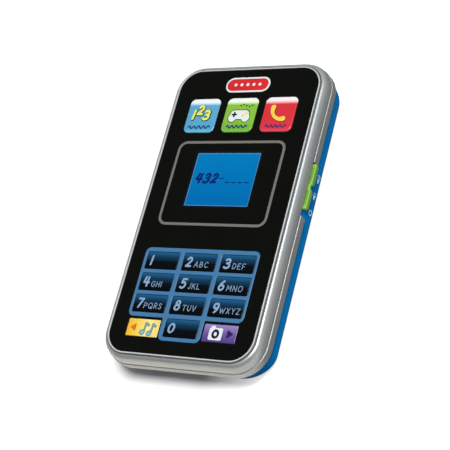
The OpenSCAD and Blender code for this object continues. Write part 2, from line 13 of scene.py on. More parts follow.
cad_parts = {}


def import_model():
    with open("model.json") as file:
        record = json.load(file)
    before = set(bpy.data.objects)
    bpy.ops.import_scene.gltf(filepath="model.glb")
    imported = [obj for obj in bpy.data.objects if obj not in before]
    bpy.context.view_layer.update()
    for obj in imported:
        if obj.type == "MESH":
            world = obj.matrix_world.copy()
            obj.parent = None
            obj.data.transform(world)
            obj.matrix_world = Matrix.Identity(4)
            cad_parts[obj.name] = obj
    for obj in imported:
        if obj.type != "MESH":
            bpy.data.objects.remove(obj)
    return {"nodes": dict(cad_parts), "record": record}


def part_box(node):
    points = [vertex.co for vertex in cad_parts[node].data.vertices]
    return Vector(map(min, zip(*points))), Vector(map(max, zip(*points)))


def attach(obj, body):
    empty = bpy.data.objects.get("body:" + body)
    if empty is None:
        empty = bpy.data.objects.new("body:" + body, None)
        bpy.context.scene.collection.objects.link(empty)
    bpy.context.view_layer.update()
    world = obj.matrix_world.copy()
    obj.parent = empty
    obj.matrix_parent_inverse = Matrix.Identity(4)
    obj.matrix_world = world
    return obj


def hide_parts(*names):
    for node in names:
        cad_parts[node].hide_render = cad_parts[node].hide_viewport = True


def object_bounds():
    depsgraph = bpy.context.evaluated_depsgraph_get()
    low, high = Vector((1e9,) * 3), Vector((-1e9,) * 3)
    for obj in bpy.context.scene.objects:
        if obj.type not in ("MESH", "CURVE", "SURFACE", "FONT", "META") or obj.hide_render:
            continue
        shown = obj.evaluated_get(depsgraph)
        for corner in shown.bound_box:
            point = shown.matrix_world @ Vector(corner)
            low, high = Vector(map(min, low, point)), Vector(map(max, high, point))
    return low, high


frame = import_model()
cad_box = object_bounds()

MM = 0.001
NODES = frame["nodes"]
SUBPARTS = frame["record"]["subparts"]
SLOT_OF = {part["node"]: part["material_slot"] for part in SUBPARTS}

DIGIT_KEYS = ["key_" + digit for digit in "1234567890"]

PRINT = 0.03 * MM      # thickness of a printed layer
SUNK = 0.012 * MM      # how deep a print or badge sits in its surface


# ---------------------------------------------------------------- places in the frame

def middle(node):
    """Middle of a CAD node seen from the front, and the height of its top"""
    low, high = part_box(node)
    return Vector(((low.x + high.x) / 2, (low.y + high.y) / 2, high.z))


def extent(node):
    low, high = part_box(node)
    return high - low


PANEL_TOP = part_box("face_panel")[1].z


# ---------------------------------------------------------------- materials

def add(tree, kind, settings=None, **sockets):
    """A shader node with its settings and inputs. An input that is a socket is linked."""
    node = tree.nodes.new("ShaderNode" + kind)
    for name, value in (settings or {}).items():
        setattr(node, name, value)
    for name, value in sockets.items():
        socket = node.inputs[int(name[1:])] if name[1:].isdigit() else node.inputs[name.replace("_", " ")]
        if isinstance(value, bpy.types.NodeSocket):
            tree.links.new(value, socket)
        else:
            socket.default_value = value
    return node


LIT = 1.9      # how brightly the lights below fall on a level surface


def rgb(*values):
    """The linear colour of a surface that looks like this, 0 to 255, under the lights below"""
    def linear(v):
        v /= 255
        return (v / 12.92 if v <= 0.04045 else ((v + 0.055) / 1.055) ** 2.4) / LIT
    return (*[linear(v) for v in values], 1)


def new_material(name, **sockets):
    """A material, its node tree, its shader and its object coordinates"""
    made = bpy.data.materials.new(name)
    made.use_nodes = True
    tree = made.node_tree
    shader = tree.nodes["Principled BSDF"]
    for socket, value in sockets.items():
        shader.inputs[socket.replace("_", " ")].default_value = value
    place = add(tree, "TexCoord").outputs["Object"]
    return made, tree, shader, place


def noise(tree, place, size, detail=2.0, rough=0.5):
    """Noise whose patches are about this size, in metres, from 0 to 1"""
    return add(tree, "TexNoise", Vector=place, Scale=1 / size, Detail=detail, Roughness=rough).outputs["Fac"]


def ramp(tree, value, stops):
    """Colours along a value: stops are (position, colour)"""
    node = add(tree, "ValToRGB", Fac=value)
    bands = node.color_ramp
    while len(bands.elements) < len(stops):
        bands.elements.new(0.5)
    for element, (position, color) in zip(bands.elements, stops):
        element.position = position
        element.color = color
    return node.outputs["Color"]


def spread(tree, value, low, high):
    """A 0 to 1 value carried to another range"""
    return add(tree, "MapRange", Value=value, To_Min=low, To_Max=high).outputs["Result"]


def tint(tree, color, value, dark=0.9, light=1.08):
    """The colour made a little darker and lighter by a value"""
    shade = spread(tree, value, dark, light)
    mixed = add(tree, "Mix", {"data_type": "RGBA", "blend_type": "MULTIPLY"}, i0=1.0, i6=color, i7=shade)
    return mixed.outputs[2]


def surface(tree, shader, place, color, rough, grain=0.25 * MM, depth=0.012 * MM, strength=0.35,
            vary=0.06, edge=0.0):
    """Gives a shader a varied colour and gloss, a fine grain and, if asked, soft edges"""
    wide = noise(tree, place, 9 * MM, 3.0)
    fine = noise(tree, place, grain, 2.0, 0.6)
    shade = add(tree, "Math", {"operation": "MULTIPLY_ADD"}, i0=fine, i1=0.35, i2=wide).outputs[0]
    tree.links.new(tint(tree, color, shade, 1 - 1.4 * vary, 1 + 0.6 * vary), shader.inputs["Base Color"])
    smudge = noise(tree, place, 4 * MM, 4.0, 0.65)
    tree.links.new(spread(tree, smudge, rough * 0.75, rough * 1.25), shader.inputs["Roughness"])
    bump = add(tree, "Bump", Strength=strength, Distance=depth, Height=fine)
    if edge:
        soft = add(tree, "Bevel", {"samples": 4}, Radius=edge)
        tree.links.new(soft.outputs["Normal"], bump.inputs["Normal"])
    tree.links.new(bump.outputs["Normal"], shader.inputs["Normal"])


def plastic(name, color, rough=0.3, gloss=0.5, **detail):
    """Moulded plastic"""
    made, tree, shader, place = new_material(name, IOR=1.49, Specular_IOR_Level=gloss)
    surface(tree, shader, place, color, rough, **detail)
    return made


def silver_paint(name):
    """Silver paint over plastic: metal flakes under a thin clear coat"""
    made, tree, shader, place = new_material(
        name, Metallic=0.6, IOR=1.5, Coat_Weight=0.5, Coat_Roughness=0.12)
    flakes = add(tree, "TexVoronoi", Vector=place, Scale=1 / (0.16 * MM))
    flake = add(tree, "SeparateColor", Color=flakes.outputs["Color"]).outputs["Red"]
    wide = noise(tree, place, 14 * MM, 3.0)
    shade = add(tree, "Math", {"operation": "MULTIPLY_ADD"}, i0=flake, i1=0.6, i2=wide).outputs[0]
    tree.links.new(tint(tree, rgb(198, 204, 205), shade, 0.84, 1.02), shader.inputs["Base Color"])
    tree.links.new(spread(tree, flake, 0.36, 0.5), shader.inputs["Roughness"])
    soft = add(tree, "Bevel", {"samples": 4}, Radius=0.18 * MM)
    bump = add(tree, "Bump", Strength=0.25, Distance=0.008 * MM, Height=flake, Normal=soft.outputs["Normal"])
    tree.links.new(bump.outputs["Normal"], shader.inputs["Normal"])
    return made


def gradient(name, stops, low, high, axis="Y", rough=0.2, vary=0.04, **sockets):
    """Printed plastic whose colour runs along one of the piece's own axes"""
    made, tree, shader, place = new_material(name, IOR=1.49, **sockets)
    along = add(tree, "SeparateXYZ", Vector=place).outputs[axis]
    position = add(tree, "MapRange", Value=along, From_Min=low, From_Max=high).outputs["Result"]
    surface(tree, shader, place, ramp(tree, position, stops), rough, vary=vary, strength=0.2)
    return made


def metal(name, color, rough=0.3, brushed=6.0):
    """Bright metal with fine scratches along X"""
    made, tree, shader, place = new_material(name, Metallic=1.0)
    stretched = add(tree, "Mapping", Vector=place, Scale=(1, brushed, brushed)).outputs[0]
    lines = noise(tree, stretched, 1.2 * MM, 4.0, 0.7)
    tree.links.new(tint(tree, color, lines, 0.8, 1.1), shader.inputs["Base Color"])
    tree.links.new(spread(tree, lines, rough * 0.7, rough * 1.4), shader.inputs["Roughness"])
    bump = add(tree, "Bump", Strength=0.3, Distance=0.01 * MM, Height=lines)
    tree.links.new(bump.outputs["Normal"], shader.inputs["Normal"])
    return made


def clear_plastic(name):
    made, tree, shader, place = new_material(name, IOR=1.49, Alpha=0.16)
    surface(tree, shader, place, rgb(150, 190, 225), 0.08, strength=0.05)
    return made


BLUE_SHELL = rgb(4, 146, 232)
SLOT_MATERIALS = {
    "silver_paint": silver_paint("silver_paint"),
    "blue_shell": plastic("blue_shell", BLUE_SHELL, 0.4, gloss=0.02, grain=0.35 * MM, depth=0.03 * MM,
                          edge=0.15 * MM),
    "black_face": plastic("black_face", rgb(11, 13, 10), 0.18, gloss=0.25, strength=0.12, vary=0.2,
                          edge=0.1 * MM),
    "blue_lattice": plastic("blue_lattice", rgb(70, 124, 171), 0.3, gloss=0.2, strength=0.2),
    "clear_lens": clear_plastic("clear_lens"),
    "display_blue": plastic("display_blue", rgb(20, 110, 190), 0.12, strength=0.05),
    "white_plastic": plastic("white_plastic", rgb(225, 225, 222), 0.45),
    "light_guide": plastic("light_guide", rgb(160, 205, 240), 0.2, strength=0.1),
    "ribbon_film": plastic("ribbon_film", rgb(165, 115, 65), 0.4),
    "key_navy": plastic("key_navy", rgb(14, 30, 44), 0.25),
    "key_yellow": plastic("key_yellow", rgb(245, 180, 50), 0.3),
    "key_purple": plastic("key_purple", rgb(110, 88, 165), 0.3),
    "tile_blue": plastic("tile_blue", rgb(90, 165, 212), 0.25),
    "tile_green": plastic("tile_green", rgb(120, 195, 60), 0.25),
    "tile_red": plastic("tile_red", rgb(225, 55, 64), 0.25),
    "silicone": plastic("silicone", rgb(205, 205, 200), 0.55, grain=0.5 * MM),
    "board_green": plastic("board_green", rgb(28, 100, 62), 0.35, grain=0.8 * MM, vary=0.14),
    "black_resin": plastic("black_resin", rgb(20, 20, 21), 0.18, grain=1.2 * MM, depth=0.05 * MM),
    "component_grey": plastic("component_grey", rgb(70, 72, 76), 0.4),
    "bright_steel": metal("bright_steel", rgb(205, 203, 198), 0.24),
    "ivory_plastic": plastic("ivory_plastic", rgb(220, 214, 195), 0.4),
    "slider_green": plastic("slider_green", rgb(142, 200, 78), 0.35, gloss=0.3, grain=0.2 * MM),
    "cone_paper": plastic("cone_paper", rgb(38, 37, 36), 0.75, grain=0.4 * MM, depth=0.05 * MM),
    "screw_steel": metal("screw_steel", rgb(190, 190, 188), 0.3),
    "cell_wrap": plastic("cell_wrap", rgb(60, 66, 74), 0.3),
    "wire_cover": plastic("wire_cover", rgb(175, 40, 38), 0.4),
}


def finish_node(node):
    """Gives a CAD node the material of its slot"""
    mesh = NODES[node].data
    mesh.materials.clear()
    mesh.materials.append(SLOT_MATERIALS[SLOT_OF[node]])


for node in NODES:
    finish_node(node)


# ---------------------------------------------------------------- mesh building

def mesh_piece(name, mesh, body, at=(0, 0, 0), turned=None, stands_for=()):
    """Puts a mesh in the scene as a piece that rides on a body"""
    piece = bpy.data.objects.new(name, mesh)
    bpy.context.scene.collection.objects.link(piece)
    piece.matrix_world = Matrix.Translation(at) @ (turned or Matrix.Identity(4))
    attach(piece, body)
    if stands_for:
        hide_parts(*stands_for)
    return piece


def smooth(mesh, angle=35):
    """Smooth shading, with edges kept sharp past an angle in degrees"""
    mesh.polygons.foreach_set("use_smooth", [True] * len(mesh.polygons))
    mesh.set_sharp_from_angle(angle=math.radians(angle))
    return mesh


def ring(w, h, r, z, steps=6):
    """Points round a level rectangle with round corners; a circle where w = h = 2 r"""
    r = min(r, w / 2, h / 2)
    points = []
    for corner, (sx, sy) in enumerate(((1, 1), (-1, 1), (-1, -1), (1, -1))):
        for i in range(steps + 1):
            a = math.radians(90 * (corner + i / steps))
            points.append((sx * (w / 2 - r) + r * math.cos(a), sy * (h / 2 - r) + r * math.sin(a), z))
    return points


def loft(name, rings, materials, angle=35):
    """A closed skin over rings of equally many points, from the lowest ring to the top one"""
    mesh = bpy.data.meshes.new(name)
    count = len(rings[0])
    points = [p for each in rings for p in each]
    faces = [tuple(reversed(range(count)))]
    for k in range(len(rings) - 1):
        for i in range(count):
            n = (i + 1) % count
            faces.append((k * count + i, k * count + n, (k + 1) * count + n, (k + 1) * count + i))
    faces.append(tuple(range((len(rings) - 1) * count, len(rings) * count)))
    mesh.from_pydata(points, [], faces)
    for made in materials:
        mesh.materials.append(made)
    return smooth(mesh, angle)


def rounded_outline(points, r, steps=6):
    """A closed outline with its corners rounded: points are (x, y) or (x, y, own radius)"""
    made = []
    for i, here in enumerate(points):
        at = Vector(here[:2])
        before = (Vector(points[i - 1][:2]) - at).normalized()
        after = (Vector(points[(i + 1) % len(points)][:2]) - at).normalized()
        radius = here[2] if len(here) > 2 else r
        half = before.angle(after) / 2
        if radius <= 0 or abs(half - math.pi / 2) < 1e-4:
            made.append(tuple(at))
            continue
        centre = at + (before + after).normalized() * radius / math.sin(half)
        start = at + before * radius / math.tan(half) - centre
        turn = -start.angle_signed(at + after * radius / math.tan(half) - centre)
        for k in range(steps + 1):
            a = turn * k / steps
            made.append(tuple(centre + Matrix.Rotation(a, 2) @ start))
    return made


def rectangle(w, h, r, x=0.0, y=0.0, steps=6):
    return [(px + x, py + y) for px, py, _ in ring(w, h, r, 0, steps)]


def ellipse(rx, ry, x=0.0, y=0.0, steps=24):
    return [(x + rx * math.cos(2 * math.pi * i / steps), y + ry * math.sin(2 * math.pi * i / steps))
            for i in range(steps)]


def arc_points(r, a0, a1, x=0.0, y=0.0, steps=12):
    """Points on an arc, its angles in degrees"""
    return [(x + r * math.cos(math.radians(a0 + (a1 - a0) * i / steps)),
             y + r * math.sin(math.radians(a0 + (a1 - a0) * i / steps))) for i in range(steps + 1)]


def stroke(path, width, steps=5):
    """The outline of a pen stroke with round ends along an open path. The width is one
    number or one for each point."""
    widths = width if isinstance(width, (list, tuple)) else [width] * len(path)
    points = [Vector(p) for p in path]
    sides = ([], [])
    for i, here in enumerate(points):
        along = (points[min(i + 1, len(points) - 1)] - points[max(i - 1, 0)]).normalized()
        across = Vector((-along.y, along.x)) * widths[i] / 2
        sides[0].append(tuple(here + across))
        sides[1].append(tuple(here - across))

    def cap(at, along, width):
        across = Vector((-along.y, along.x)) * width / 2
        return [tuple(at + Matrix.Rotation(-math.pi * k / steps, 2) @ across) for k in range(1, steps)]

    first = (points[0] - points[1]).normalized()
    last = (points[-1] - points[-2]).normalized()
    return (sides[0] + cap(points[-1], last, widths[-1])
            + list(reversed(sides[1])) + cap(points[0], first, widths[0]))


def curved(points, steps=6):
    """A smooth path through points"""
    p = [Vector(each) for each in points]
    p = [2 * p[0] - p[1]] + p + [2 * p[-1] - p[-2]]
    path = []
    for a, b, c, d in zip(p, p[1:], p[2:], p[3:]):
        for k in range(steps):
            t = k / steps
            path.append(tuple(0.5 * (2 * b + (c - a) * t + (2 * a - 5 * b + 4 * c - d) * t ** 2
                                     + (3 * b - a - 3 * c + d) * t ** 3)))
    return path + [tuple(p[-2])]


def flat_mesh(outlines, z0, z1, bevel=0.0, bevel_steps=2):
    """A flat plate between two heights. Outlines inside another are holes in it."""
    curve = bpy.data.curves.new("outline", "CURVE")
    curve.dimensions = "2D"
    curve.fill_mode = "BOTH"
    curve.extrude = (z1 - z0) / 2 - bevel
    curve.bevel_depth = bevel
    curve.bevel_resolution = bevel_steps
    curve.offset = -bevel
    for outline in outlines:
        spline = curve.splines.new("POLY")
        spline.points.add(len(outline) - 1)
        for point, (x, y) in zip(spline.points, outline):
            point.co = (x, y, 0, 1)
        spline.use_cyclic_u = True
    return curve_mesh(curve, (z0 + z1) / 2)


def curve_mesh(curve, z):
    """The mesh that a curve or a text fills, at a height"""
    holder = bpy.data.objects.new("holder", curve)
    bpy.context.scene.collection.objects.link(holder)
    bpy.context.view_layer.update()
    shown = holder.evaluated_get(bpy.context.evaluated_depsgraph_get())
    mesh = bpy.data.meshes.new_from_object(shown)
    mesh.transform(Matrix.Translation((0, 0, z)))
    bpy.data.objects.remove(holder)
    bpy.data.curves.remove(curve)
    return mesh


def joined(name, parts, angle=35):
    """One mesh from (mesh, material) pairs"""
    whole = bmesh.new()
    materials = []
    for mesh, made in parts:
        if made not in materials:
            materials.append(made)
        start = len(whole.faces)
        whole.from_mesh(mesh)
        whole.faces.ensure_lookup_table()
        for face in whole.faces[start:]:
            face.material_index = materials.index(made)
        bpy.data.meshes.remove(mesh)
    bmesh.ops.remove_doubles(whole, verts=whole.verts, dist=0.0005 * MM)
    bmesh.ops.recalc_face_normals(whole, faces=whole.faces)
    result = bpy.data.meshes.new(name)
    whole.to_mesh(result)
    whole.free()
    for made in materials:
        result.materials.append(made)
    return smooth(result, angle)


class Layers:
    """Printed shapes laid on a surface one after another, each a hair above the last"""

    def __init__(self, z=0.0):
        self.parts = []
        self.z = z - SUNK

    def shape(self, material, *outlines):
        """One outline, with its holes after it"""
        lift = len(self.parts) % 20 * PRINT / 100
        self.parts.append((flat_mesh(outlines, self.z, self.z + PRINT + lift), material))

    def next(self):
        """The shapes from here on lie above those before"""
        self.z += PRINT / 2

    def piece(self, name, body, slot, at, turned=None):
        return mesh_piece(name, joined(name, self.parts), body, at, turned)


# ---------------------------------------------------------------- lettering

# Pen strokes of each figure and letter, one unit high: chains of straight lines, smooth
# curves through points, and loops (x, y, half width, half height)
GLYPHS = {
    "0": ([], [], [(0.33, 0.5, 0.31, 0.47)]),
    "1": ([[(0.22, 0), (0.22, 1)]], [], []),
    "2": ([[(0.03, 0.03), (0.56, 0.03)]],
          [[(0.05, 0.78), (0.16, 0.97), (0.4, 0.96), (0.52, 0.74), (0.4, 0.46), (0.03, 0.03)]], []),
    "3": ([], [[(0.04, 0.9), (0.22, 1), (0.46, 0.95), (0.53, 0.74), (0.38, 0.57), (0.2, 0.54)],
               [(0.2, 0.54), (0.46, 0.5), (0.6, 0.26), (0.42, 0.03), (0.18, 0), (0, 0.1)]], []),
    "4": ([[(0.12, 1), (0.03, 0.4), (0.64, 0.4)], [(0.46, 1), (0.46, 0)]], [], []),
    "5": ([[(0.56, 1), (0.13, 1), (0.09, 0.58)]],
          [[(0.09, 0.58), (0.34, 0.66), (0.56, 0.42), (0.44, 0.1), (0.22, 0), (0.02, 0.1)]], []),
    "6": ([], [[(0.46, 1), (0.17, 0.7), (0.03, 0.3)]], [(0.3, 0.28, 0.27, 0.27)]),
    "7": ([[(0.02, 0.98), (0.58, 0.98), (0.18, 0)]], [], []),
    "8": ([], [], [(0.31, 0.76, 0.21, 0.22), (0.31, 0.27, 0.28, 0.27)]),
    "9": ([], [[(0.58, 0.72), (0.5, 0.3), (0.26, 0)]], [(0.31, 0.71, 0.26, 0.27)]),
    "A": ([[(0, 0), (0.37, 1), (0.72, 0)], [(0.14, 0.36), (0.58, 0.36)]], [], []),
    "B": ([[(0, 0), (0, 1)]], [[(0, 1), (0.36, 0.97), (0.48, 0.77), (0.36, 0.56), (0, 0.52)],
                               [(0, 0.52), (0.42, 0.5), (0.57, 0.26), (0.42, 0.03), (0, 0)]], []),
    "C": ([], [[(0.66, 0.85), (0.4, 1), (0.1, 0.76), (0.04, 0.36), (0.32, 0), (0.67, 0.14)]], []),
    "D": ([[(0, 0), (0, 1)]], [[(0, 1), (0.4, 0.93), (0.62, 0.5), (0.4, 0.07), (0, 0)]], []),
    "E": ([[(0.52, 1), (0, 1), (0, 0), (0.52, 0)], [(0, 0.52), (0.44, 0.52)]], [], []),
    "F": ([[(0.5, 1), (0, 1), (0, 0)], [(0, 0.5), (0.42, 0.5)]], [], []),
    "G": ([[(0.7, 0.14), (0.7, 0.46), (0.42, 0.46)]],
          [[(0.67, 0.86), (0.4, 1), (0.1, 0.74), (0.04, 0.36), (0.32, 0), (0.7, 0.14)]], []),
    "H": ([[(0, 0), (0, 1)], [(0.6, 0), (0.6, 1)], [(0, 0.52), (0.6, 0.52)]], [], []),
    "I": ([[(0, 0), (0, 1)]], [], []),
    "J": ([[(0.4, 1), (0.4, 0.3)]], [[(0.4, 0.3), (0.3, 0.03), (0.1, 0.02), (0, 0.16)]], []),
    "K": ([[(0, 0), (0, 1)], [(0.55, 1), (0, 0.42)], [(0.18, 0.6), (0.58, 0)]], [], []),
    "L": ([[(0, 1), (0, 0), (0.48, 0)]], [], []),
    "M": ([[(0, 0), (0.08, 1), (0.42, 0.36), (0.76, 1), (0.84, 0)]], [], []),
    "N": ([[(0, 0), (0, 1), (0.64, 0), (0.64, 1)]], [], []),
    "O": ([], [], [(0.4, 0.5, 0.39, 0.5)]),
    "P": ([[(0, 0), (0, 1)]], [[(0, 1), (0.4, 0.96), (0.54, 0.73), (0.4, 0.48), (0, 0.44)]], []),
    "Q": ([[(0.46, 0.28), (0.8, -0.08)]], [], [(0.4, 0.5, 0.39, 0.5)]),
    "R": ([[(0, 0), (0, 1)], [(0.26, 0.46), (0.56, 0)]],
          [[(0, 1), (0.4, 0.96), (0.52, 0.73), (0.4, 0.5), (0, 0.46)]], []),
    "S": ([], [[(0.5, 0.86), (0.26, 1), (0.05, 0.78), (0.26, 0.53), (0.52, 0.28), (0.28, 0), (0, 0.14)]], []),
    "T": ([[(0, 1), (0.64, 1)], [(0.32, 1), (0.32, 0)]], [], []),
    "U": ([], [[(0, 1), (0.01, 0.35), (0.29, 0), (0.57, 0.35), (0.58, 1)]], []),
    "V": ([[(0, 1), (0.33, 0), (0.66, 1)]], [], []),
    "W": ([[(0, 1), (0.22, 0), (0.48, 0.8), (0.74, 0), (0.96, 1)]], [], []),
    "X": ([[(0, 1), (0.6, 0)], [(0.6, 1), (0, 0)]], [], []),
    "Y": ([[(0, 1), (0.3, 0.5), (0.6, 1)], [(0.3, 0.5), (0.3, 0)]], [], []),
    "Z": ([[(0, 1), (0.58, 1), (0, 0), (0.6, 0)]], [], []),
}


def lettering(layers, material, text, height, width, x, y, slant=0.16, gap=0.5 * MM):
    """Writes figures or capital letters with a round pen of a width"""
    for character in text:
        chains, curves, loops = GLYPHS[character]

        def put(px, py):
            return x + (px + slant * py) * height, y + py * height

        for chain in chains:
            for ends in zip(chain, chain[1:]):
                layers.shape(material, stroke([put(*point) for point in ends], width))
        for points in curves:
            path = curved([put(*point) for point in points])
            if width < 0.2 * height:
                layers.shape(material, stroke(path, width))
                continue
            for ends in zip(path[::2], path[2::2]):     # short overlapping bars keep a wide bend whole
                layers.shape(material, stroke(ends, width))
        for cx, cy, rx, ry in loops:
            layers.shape(material, *[
                [put(cx + px, cy + py) for px, py in ellipse(rx + grow, ry + grow)]
                for grow in (width / 2 / height, -width / 2 / height)])
        reach = [point[0] for path in chains + curves for point in path] + [cx + rx for cx, _, rx, _ in loops]
        x += max(reach) * height + width + gap


# ---------------------------------------------------------------- keys and tiles

FLANGE_RIM = 0.55 * MM     # how far a key's hidden flange stands out past its cap
FLANGE_T = 1.0 * MM
FLANGE_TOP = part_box("rubber_keypad")[1].z + 2.4 * MM
STEM_R = 2.0 * MM


def key_rings(w, h, r, foot, flange, edge):
    """Stem, flange and cap of a key, from its foot up. Heights count from the cap's top,
    whose edge is a quarter round."""
    stem = 2 * STEM_R
    rim_w, rim_h = w + 2 * FLANGE_RIM, h + 2 * FLANGE_RIM
    rings = [ring(stem * 0.85, stem * 0.85, STEM_R * 0.85, foot), ring(stem, stem, STEM_R, foot + 0.3 * MM),
             ring(stem, stem, STEM_R, flange - FLANGE_T), ring(rim_w, rim_h, r, flange - FLANGE_T),
             ring(rim_w, rim_h, r, flange), ring(w, h, r, flange)]
    bends = 6
    for i in range(bends + 1):
        a = math.radians(90 * i / bends)
        inset = 2 * edge * (1 - math.cos(a))
        rings.append(ring(w - inset, h - inset, max(r - inset / 2, 0.1 * MM), edge * (math.sin(a) - 1)))
    return rings


def key_piece(node, r, edge, material):
    """A key in place of the CAD key. Its origin is the middle of its top, just low enough
    for the print on it to stay as high as the CAD key."""
    low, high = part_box(node)
    top = key_top(node)
    w = high.x - low.x - 2 * FLANGE_RIM
    h = high.y - low.y - 2 * FLANGE_RIM
    mesh = loft(node + "_moulding", key_rings(w, h, r, low.z - top.z, FLANGE_TOP - top.z, edge), [material])
    return mesh_piece(node + "_moulding", mesh, node + "_cap", top, stands_for=[node])


def key_top(node):
    return middle(node) - Vector((0, 0, 2 * PRINT))


def cap_size(node):
    size = extent(node)
    return size.x - 2 * FLANGE_RIM, size.y - 2 * FLANGE_RIM


KEY_W, KEY_H = cap_size("key_1")
SIDE_W, SIDE_H = cap_size("music_key")
TILE_W, TILE_H = cap_size("games_tile")

KEY_FACE = gradient("key_face", [
    (0.0, rgb(6, 10, 14)), (0.42, rgb(8, 14, 20)), (0.72, rgb(18, 58, 88)), (1.0, rgb(34, 98, 142))],
    -KEY_H / 2, KEY_H / 2, rough=0.2, Specular_IOR_Level=0.15)
KEY_PRINT = plastic("key_print", rgb(140, 172, 204), 0.35, strength=0.1)
LETTER_PRINT = plastic("letter_print", rgb(128, 160, 192), 0.35, strength=0.1)
LETTERS = {"2": "ABC", "3": "DEF", "4": "GHI", "5": "JKL", "6": "MNO", "7": "PQRS", "8": "TUV", "9": "WXYZ"}


def number_key(node):
    """A number key with its digit, and its letters beside it"""
    digit = node[-1]
    key_piece(node, 0.7 * MM, 0.25 * MM, KEY_FACE)
    legend = Layers()
    lettering(legend, KEY_PRINT, digit, 3.9 * MM, 0.9 * MM, -6.2 * MM, -1.95 * MM, slant=0.12)
    letters = LETTERS.get(digit, "")
    start = -2.1 if len(letters) < 4 else -2.7
    lettering(legend, LETTER_PRINT, letters, 2.35 * MM, 0.34 * MM, start * MM, -2.15 * MM, slant=0.06,
              gap=0.6 * MM)
    legend.piece(node + "_legend", node + "_cap", "blue_lattice", key_top(node))


for node in DIGIT_KEYS:
    number_key(node)


def music_note(legend, material, x, y, grow):
    """A round head, its stem and flag, in one printed layer"""
    top = y + 4.1 * MM
    legend.shape(material, ellipse(1.05 * MM + grow, 0.9 * MM + grow, x, y))
    legend.shape(material, stroke([(x + 0.85 * MM, y), (x + 1.15 * MM, top)], 0.4 * MM + 2 * grow))
    legend.shape(material, stroke([(x + 1.15 * MM, top - 0.1 * MM), (x + 2.5 * MM, top - 0.9 * MM)],
                                  0.6 * MM + 2 * grow))


def music_key():
    face = gradient("music_face", [
        (0.0, rgb(252, 190, 50)), (0.3, rgb(255, 214, 80)), (0.65, rgb(255, 240, 150)),
        (1.0, rgb(255, 222, 120))],
        -SIDE_W / 2, SIDE_W / 2, axis="X", rough=0.24)
    key_piece("music_key", 0.4 * MM, 0.25 * MM, face)
    legend = Layers()
    arrow = plastic("arrow_orange", rgb(214, 122, 34), 0.35, strength=0.1)
    legend.shape(arrow, rounded_outline(
        [(-6.4 * MM, 0), (-3.5 * MM, 1.8 * MM), (-3.5 * MM, -1.8 * MM)], 0.3 * MM))
    outline = plastic("note_outline", rgb(28, 70, 84), 0.35, strength=0.1)
    fill = plastic("note_fill", rgb(130, 192, 214), 0.3, strength=0.1)
    places = ((0.0, -2.0 * MM), (3.5 * MM, -2.3 * MM))
    for x, y in places:
        music_note(legend, outline, x, y, 0.25 * MM)
    legend.next()
    for x, y in places:
        music_note(legend, fill, x, y, 0)
    legend.piece("music_key_legend", "music_key_cap", "key_yellow", key_top("music_key"))


def camera_key():
    face = gradient("camera_face", [
        (0.0, rgb(78, 60, 134)), (0.5, rgb(112, 92, 164)), (1.0, rgb(156, 138, 198))],
        -SIDE_H / 2, SIDE_H / 2, rough=0.24)
    key_piece("camera_key", 0.4 * MM, 0.25 * MM, face)
    white = plastic("print_white", rgb(240, 240, 244), 0.3, strength=0.1)
    navy = plastic("print_navy", rgb(16, 22, 72), 0.3, strength=0.1)
    legend = Layers()
    x, y = -1.9 * MM, -0.3 * MM
    legend.shape(white, rectangle(6.2 * MM, 5.2 * MM, 0.7 * MM, x, y))
    legend.shape(white, rounded_outline([
        (x - 2.7 * MM, y + 2.4 * MM), (x - 0.3 * MM, y + 2.4 * MM),
        (x - 0.7 * MM, y + 3.4 * MM), (x - 2.3 * MM, y + 3.4 * MM)], 0.3 * MM))
    arrow = plastic("arrow_purple", rgb(34, 16, 92), 0.35, strength=0.1)
    legend.shape(arrow, rounded_outline(
        [(6.5 * MM, 0), (3.4 * MM, -1.9 * MM), (3.4 * MM, 1.9 * MM)], 0.3 * MM))
    legend.next()
    legend.shape(navy, ellipse(1.75 * MM, 2.0 * MM, x, y), ellipse(0.7 * MM, 0.9 * MM, x, y))
    legend.piece("camera_key_legend", "camera_key_cap", "key_purple", key_top("camera_key"))


music_key()
camera_key()


def tile_face(name, base, shade, foot):
    """Gel-like tile: a painted highlight in white along the top edge, its own colour below, a lighter foot"""
    pale = tuple(0.45 * part + 0.45 for part in base[:3]) + (1,)
    return gradient(name, [
        # the pale and white stops near the top are the painted highlight
        (0.0, foot), (0.1, shade), (0.4, base), (0.79, base), (0.89, pale),
        (0.96, rgb(246, 248, 248)), (1.0, rgb(252, 252, 252))], -TILE_H / 2, TILE_H / 2, rough=0.18)


def dots(legend, material, places, r=0.28 * MM):
    for x, y in places:
        legend.shape(material, ellipse(r, r, x, y, 12))


def wavy_line(legend, material, width, y):
    """A short wavy line, where a word would stand"""
    waves, count = 4.5, 54
    path = []
    for i in range(count + 1):
        a = 2 * math.pi * waves * i / count
        path.append(((i / count - 0.5) * width, y + 0.62 * MM * math.sin(a)))
    legend.shape(material, stroke(path, 0.6 * MM))


INK = plastic("print_ink", rgb(24, 44, 110), 0.35, strength=0.1)
BLACK_INK = plastic("print_black", rgb(18, 20, 20), 0.35, strength=0.1)
YELLOW_INK = plastic("print_yellow", rgb(238, 240, 112), 0.3, strength=0.1)
WHITE_INK = plastic("print_pale", rgb(236, 242, 244), 0.3, strength=0.1)
TILE_R = 2.5 * MM
TILE_EDGE = 0.5 * MM


